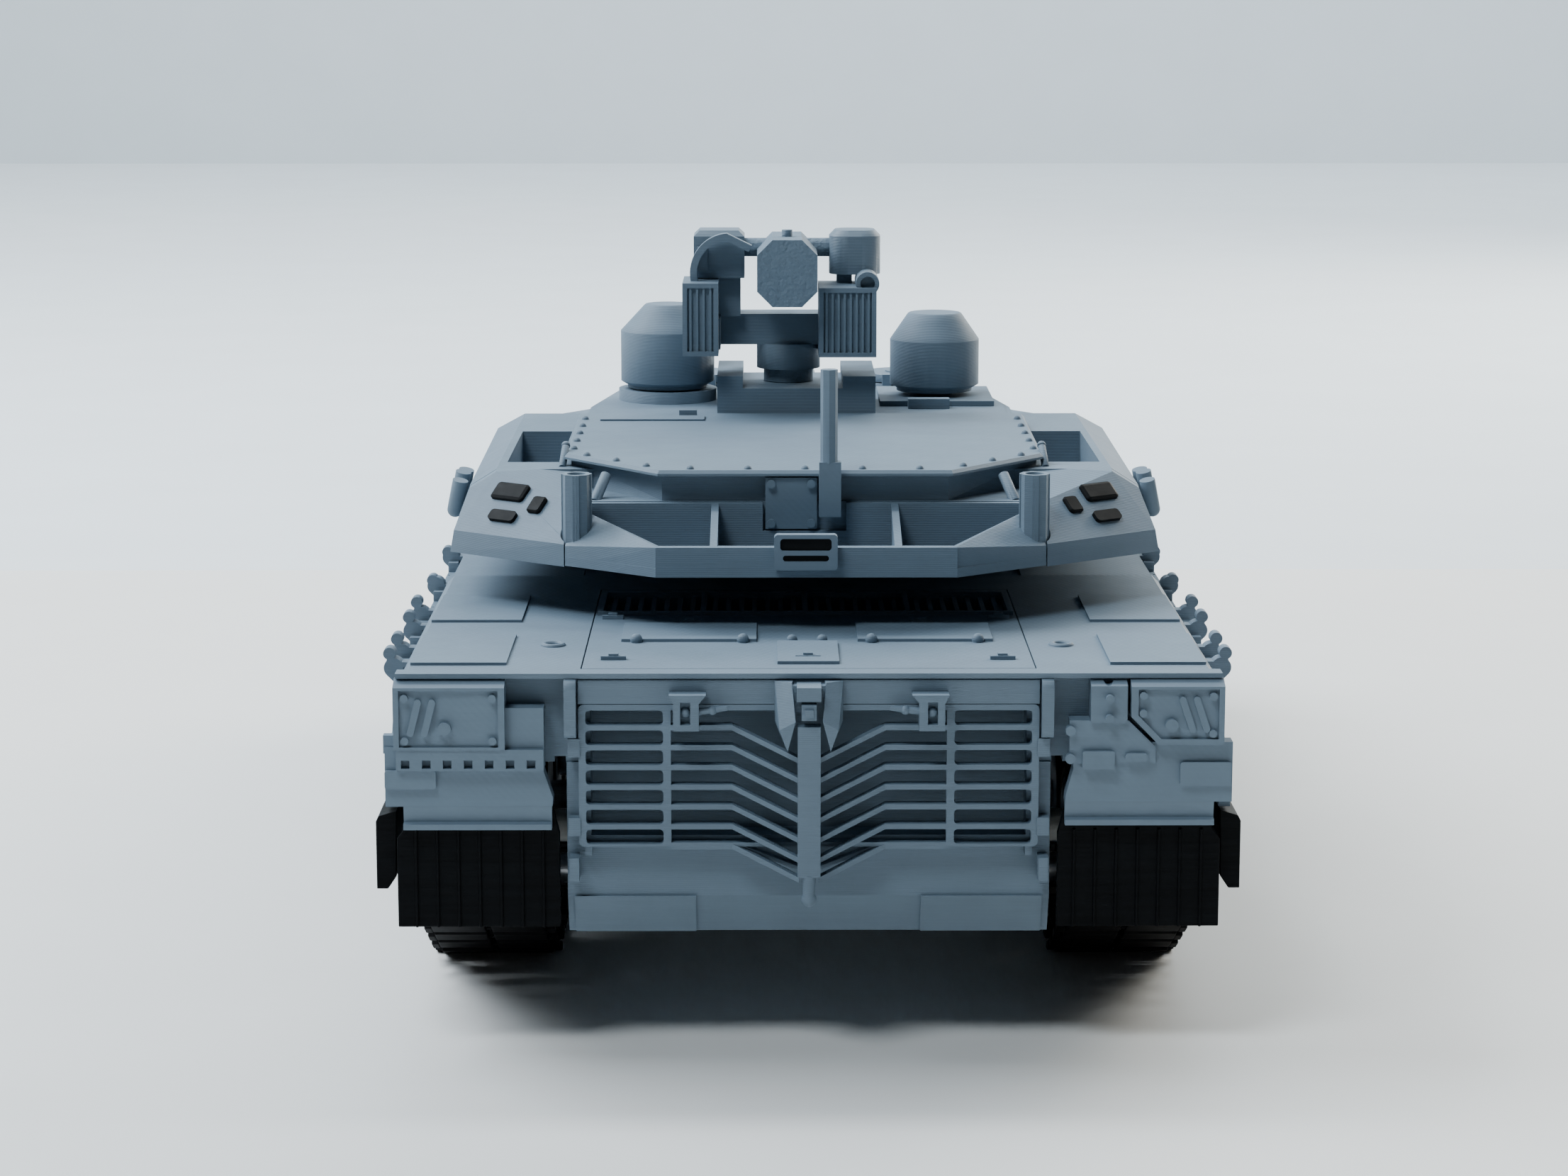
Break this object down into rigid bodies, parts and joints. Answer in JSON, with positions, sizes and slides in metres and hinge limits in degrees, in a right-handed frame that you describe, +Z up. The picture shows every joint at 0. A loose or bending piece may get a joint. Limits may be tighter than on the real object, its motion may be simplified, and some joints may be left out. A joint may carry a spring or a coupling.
{
  "type": "radio controlled tank model",
  "caption": "Small radio-controlled model of a modern main battle tank with turning turret, elevating gun, tracks on spinning wheels, roof sights and a roof weapon station.",
  "frame": {"origin": "on the ground, centred under the overall box, gun pointing forward", "axes": "+Y forward along the gun, +X to the tank's right-hand side, +Z up"},
  "size_m": [0.0614, 0.1656, 0.054],
  "materials": {
    "printed_grey": "printed matte blue-grey plastic with fine layer lines",
    "black_plastic": "matte black flexible plastic with fine ribs",
    "track_rubber": "matte black rubber",
    "sensor_black": "black plastic, slightly satin",
    "steel": "plain turned steel",
    "motor_can": "drawn metal can",
    "gear_white": "moulded white gear plastic",
    "brass": "cut brass",
    "battery_wrap": "silver pouch with a satin wrap",
    "circuit_board": "green solder mask"
  },
  "bodies": {
    "hull": {"hull_tub": "printed_grey", "hull_deck": "printed_grey", "engine_cover": "printed_grey", "rear_grille": "printed_grey", "pintle_hitch": "printed_grey", "hull_fittings": "printed_grey", "stowage_left": "printed_grey", "stowage_right": "printed_grey", "mud_flaps": "black_plastic", "skirt_left": "printed_grey", "skirt_right": "printed_grey", "skirt_rubbers": "black_plastic", "track_left": "track_rubber", "track_right": "track_rubber", "wheel_axles": "steel", "drive_motors": "motor_can", "battery": "battery_wrap", "control_board": "circuit_board", "belly_cover": "printed_grey", "screws": "steel", "turret_motor": "motor_can"},
    "drive_left": {"sprocket_left": "printed_grey", "final_gear_left": "gear_white"},
    "motor_pinion_left": {"motor_pinion_left": "brass"},
    "idler_left": {"idler_left": "printed_grey"},
    "road_wheel_left_1": {"road_wheel_left_1": "printed_grey"},
    "road_wheel_left_2": {"road_wheel_left_2": "printed_grey"},
    "road_wheel_left_3": {"road_wheel_left_3": "printed_grey"},
    "road_wheel_left_4": {"road_wheel_left_4": "printed_grey"},
    "road_wheel_left_5": {"road_wheel_left_5": "printed_grey"},
    "road_wheel_left_6": {"road_wheel_left_6": "printed_grey"},
    "road_wheel_left_7": {"road_wheel_left_7": "printed_grey"},
    "drive_right": {"sprocket_right": "printed_grey", "final_gear_right": "gear_white"},
    "motor_pinion_right": {"motor_pinion_right": "brass"},
    "idler_right": {"idler_right": "printed_grey"},
    "road_wheel_right_1": {"road_wheel_right_1": "printed_grey"},
    "road_wheel_right_2": {"road_wheel_right_2": "printed_grey"},
    "road_wheel_right_3": {"road_wheel_right_3": "printed_grey"},
    "road_wheel_right_4": {"road_wheel_right_4": "printed_grey"},
    "road_wheel_right_5": {"road_wheel_right_5": "printed_grey"},
    "road_wheel_right_6": {"road_wheel_right_6": "printed_grey"},
    "road_wheel_right_7": {"road_wheel_right_7": "printed_grey"},
    "turret_pinion": {"turret_pinion": "brass"},
    "driver_hatch": {"driver_hatch": "printed_grey"},
    "power_switch": {"power_switch": "black_plastic"},
    "turret": {"turret_shell": "printed_grey", "turret_roof": "printed_grey", "turret_ring_gear": "gear_white", "bustle_rack": "printed_grey", "sensor_windows": "sensor_black", "turret_fittings": "printed_grey"},
    "gun": {"gun_mantlet": "printed_grey", "gun_barrel": "printed_grey"},
    "sight_left": {"sight_left": "printed_grey"},
    "sight_right": {"sight_right": "printed_grey"},
    "rws": {"rws_mount": "printed_grey"},
    "rws_gun": {"rws_gun": "printed_grey"},
    "commander_hatch": {"commander_hatch": "printed_grey"},
    "loader_hatch": {"loader_hatch": "printed_grey"}
  },
  "joints": [
    {"name": "sprocket_left_spin", "type": "hinge", "parent": "hull", "child": "drive_left", "pos_m": [-0.024, -0.0698, 0.0142], "axis": [1, 0, 0], "continuous": true},
    {"name": "motor_pinion_left_spin", "type": "hinge", "parent": "hull", "child": "motor_pinion_left", "pos_m": [-0.012, -0.0642, 0.0142], "axis": [1, 0, 0], "continuous": true},
    {"name": "idler_left_spin", "type": "hinge", "parent": "hull", "child": "idler_left", "pos_m": [-0.024, 0.0395, 0.0142], "axis": [1, 0, 0], "continuous": true},
    {"name": "road_wheel_left_1_spin", "type": "hinge", "parent": "hull", "child": "road_wheel_left_1", "pos_m": [-0.024, -0.053, 0.00662], "axis": [1, 0, 0], "continuous": true},
    {"name": "road_wheel_left_2_spin", "type": "hinge", "parent": "hull", "child": "road_wheel_left_2", "pos_m": [-0.024, -0.0405, 0.00662], "axis": [1, 0, 0], "continuous": true},
    {"name": "road_wheel_left_3_spin", "type": "hinge", "parent": "hull", "child": "road_wheel_left_3", "pos_m": [-0.024, -0.028, 0.00662], "axis": [1, 0, 0], "continuous": true},
    {"name": "road_wheel_left_4_spin", "type": "hinge", "parent": "hull", "child": "road_wheel_left_4", "pos_m": [-0.024, -0.0155, 0.00662], "axis": [1, 0, 0], "continuous": true},
    {"name": "road_wheel_left_5_spin", "type": "hinge", "parent": "hull", "child": "road_wheel_left_5", "pos_m": [-0.024, -0.003, 0.00662], "axis": [1, 0, 0], "continuous": true},
    {"name": "road_wheel_left_6_spin", "type": "hinge", "parent": "hull", "child": "road_wheel_left_6", "pos_m": [-0.024, 0.0095, 0.00662], "axis": [1, 0, 0], "continuous": true},
    {"name": "road_wheel_left_7_spin", "type": "hinge", "parent": "hull", "child": "road_wheel_left_7", "pos_m": [-0.024, 0.022, 0.00662], "axis": [1, 0, 0], "continuous": true},
    {"name": "sprocket_right_spin", "type": "hinge", "parent": "hull", "child": "drive_right", "pos_m": [0.024, -0.0698, 0.0142], "axis": [1, 0, 0], "continuous": true},
    {"name": "motor_pinion_right_spin", "type": "hinge", "parent": "hull", "child": "motor_pinion_right", "pos_m": [0.012, -0.0642, 0.0142], "axis": [1, 0, 0], "continuous": true},
    {"name": "idler_right_spin", "type": "hinge", "parent": "hull", "child": "idler_right", "pos_m": [0.024, 0.0395, 0.0142], "axis": [1, 0, 0], "continuous": true},
    {"name": "road_wheel_right_1_spin", "type": "hinge", "parent": "hull", "child": "road_wheel_right_1", "pos_m": [0.024, -0.053, 0.00662], "axis": [1, 0, 0], "continuous": true},
    {"name": "road_wheel_right_2_spin", "type": "hinge", "parent": "hull", "child": "road_wheel_right_2", "pos_m": [0.024, -0.0405, 0.00662], "axis": [1, 0, 0], "continuous": true},
    {"name": "road_wheel_right_3_spin", "type": "hinge", "parent": "hull", "child": "road_wheel_right_3", "pos_m": [0.024, -0.028, 0.00662], "axis": [1, 0, 0], "continuous": true},
    {"name": "road_wheel_right_4_spin", "type": "hinge", "parent": "hull", "child": "road_wheel_right_4", "pos_m": [0.024, -0.0155, 0.00662], "axis": [1, 0, 0], "continuous": true},
    {"name": "road_wheel_right_5_spin", "type": "hinge", "parent": "hull", "child": "road_wheel_right_5", "pos_m": [0.024, -0.003, 0.00662], "axis": [1, 0, 0], "continuous": true},
    {"name": "road_wheel_right_6_spin", "type": "hinge", "parent": "hull", "child": "road_wheel_right_6", "pos_m": [0.024, 0.0095, 0.00662], "axis": [1, 0, 0], "continuous": true},
    {"name": "road_wheel_right_7_spin", "type": "hinge", "parent": "hull", "child": "road_wheel_right_7", "pos_m": [0.024, 0.022, 0.00662], "axis": [1, 0, 0], "continuous": true},
    {"name": "turret_yaw", "type": "hinge", "parent": "hull", "child": "turret", "pos_m": [0, -0.012, 0.028], "axis": [0, 0, 1], "continuous": true},
    {"name": "turret_pinion_spin", "type": "hinge", "parent": "hull", "child": "turret_pinion", "pos_m": [0, -0.0305, 0.024], "axis": [0, 0, 1], "continuous": true},
    {"name": "gun_elevation", "type": "hinge", "parent": "turret", "child": "gun", "pos_m": [0, 0.0175, 0.0324], "axis": [1, 0, 0], "range_deg": [-3, 18]},
    {"name": "sight_left_yaw", "type": "hinge", "parent": "turret", "child": "sight_left", "pos_m": [-0.01175, -0.008, 0.04], "axis": [0, 0, 1], "continuous": true},
    {"name": "sight_right_yaw", "type": "hinge", "parent": "turret", "child": "sight_right", "pos_m": [0.01198, -0.008, 0.04], "axis": [0, 0, 1], "continuous": true},
    {"name": "rws_yaw", "type": "hinge", "parent": "turret", "child": "rws", "pos_m": [-0.00105, -0.014, 0.041], "axis": [0, 0, 1], "range_deg": [-15, 50]},
    {"name": "rws_elevation", "type": "hinge", "parent": "rws", "child": "rws_gun", "pos_m": [-0.0012, -0.016, 0.0522], "axis": [1, 0, 0], "range_deg": [-10, 30]},
    {"name": "commander_hatch_lift", "type": "hinge", "parent": "turret", "child": "commander_hatch", "pos_m": [0.0096, -0.00005, 0.03885], "axis": [1, 0, 0], "range_deg": [0, 100]},
    {"name": "loader_hatch_lift", "type": "hinge", "parent": "turret", "child": "loader_hatch", "pos_m": [-0.0096, -0.00005, 0.03885], "axis": [1, 0, 0], "range_deg": [0, 100]},
    {"name": "driver_hatch_swing", "type": "hinge", "parent": "hull", "child": "driver_hatch", "pos_m": [0.0054, 0.0265, 0.027], "axis": [0, 0, -1], "range_deg": [0, 95]},
    {"name": "power_switch_slide", "type": "slide", "parent": "hull", "child": "power_switch", "axis": [0, 1, 0], "range_m": [0, 0.002]}
  ],
  "couplings": [
    {"joint": "motor_pinion_left_spin", "follows": "sprocket_left_spin", "ratio": -1.8},
    {"joint": "idler_left_spin", "follows": "sprocket_left_spin", "ratio": 1},
    {"joint": "road_wheel_left_1_spin", "follows": "sprocket_left_spin", "ratio": 0.8893},
    {"joint": "road_wheel_left_2_spin", "follows": "sprocket_left_spin", "ratio": 0.8893},
    {"joint": "road_wheel_left_3_spin", "follows": "sprocket_left_spin", "ratio": 0.8893},
    {"joint": "road_wheel_left_4_spin", "follows": "sprocket_left_spin", "ratio": 0.8893},
    {"joint": "road_wheel_left_5_spin", "follows": "sprocket_left_spin", "ratio": 0.8893},
    {"joint": "road_wheel_left_6_spin", "follows": "sprocket_left_spin", "ratio": 0.8893},
    {"joint": "road_wheel_left_7_spin", "follows": "sprocket_left_spin", "ratio": 0.8893},
    {"joint": "motor_pinion_right_spin", "follows": "sprocket_right_spin", "ratio": -1.8},
    {"joint": "idler_right_spin", "follows": "sprocket_right_spin", "ratio": 1},
    {"joint": "road_wheel_right_1_spin", "follows": "sprocket_right_spin", "ratio": 0.8893},
    {"joint": "road_wheel_right_2_spin", "follows": "sprocket_right_spin", "ratio": 0.8893},
    {"joint": "road_wheel_right_3_spin", "follows": "sprocket_right_spin", "ratio": 0.8893},
    {"joint": "road_wheel_right_4_spin", "follows": "sprocket_right_spin", "ratio": 0.8893},
    {"joint": "road_wheel_right_5_spin", "follows": "sprocket_right_spin", "ratio": 0.8893},
    {"joint": "road_wheel_right_6_spin", "follows": "sprocket_right_spin", "ratio": 0.8893},
    {"joint": "road_wheel_right_7_spin", "follows": "sprocket_right_spin", "ratio": 0.8893},
    {"joint": "turret_pinion_spin", "follows": "turret_yaw", "ratio": -6.4}
  ]
}
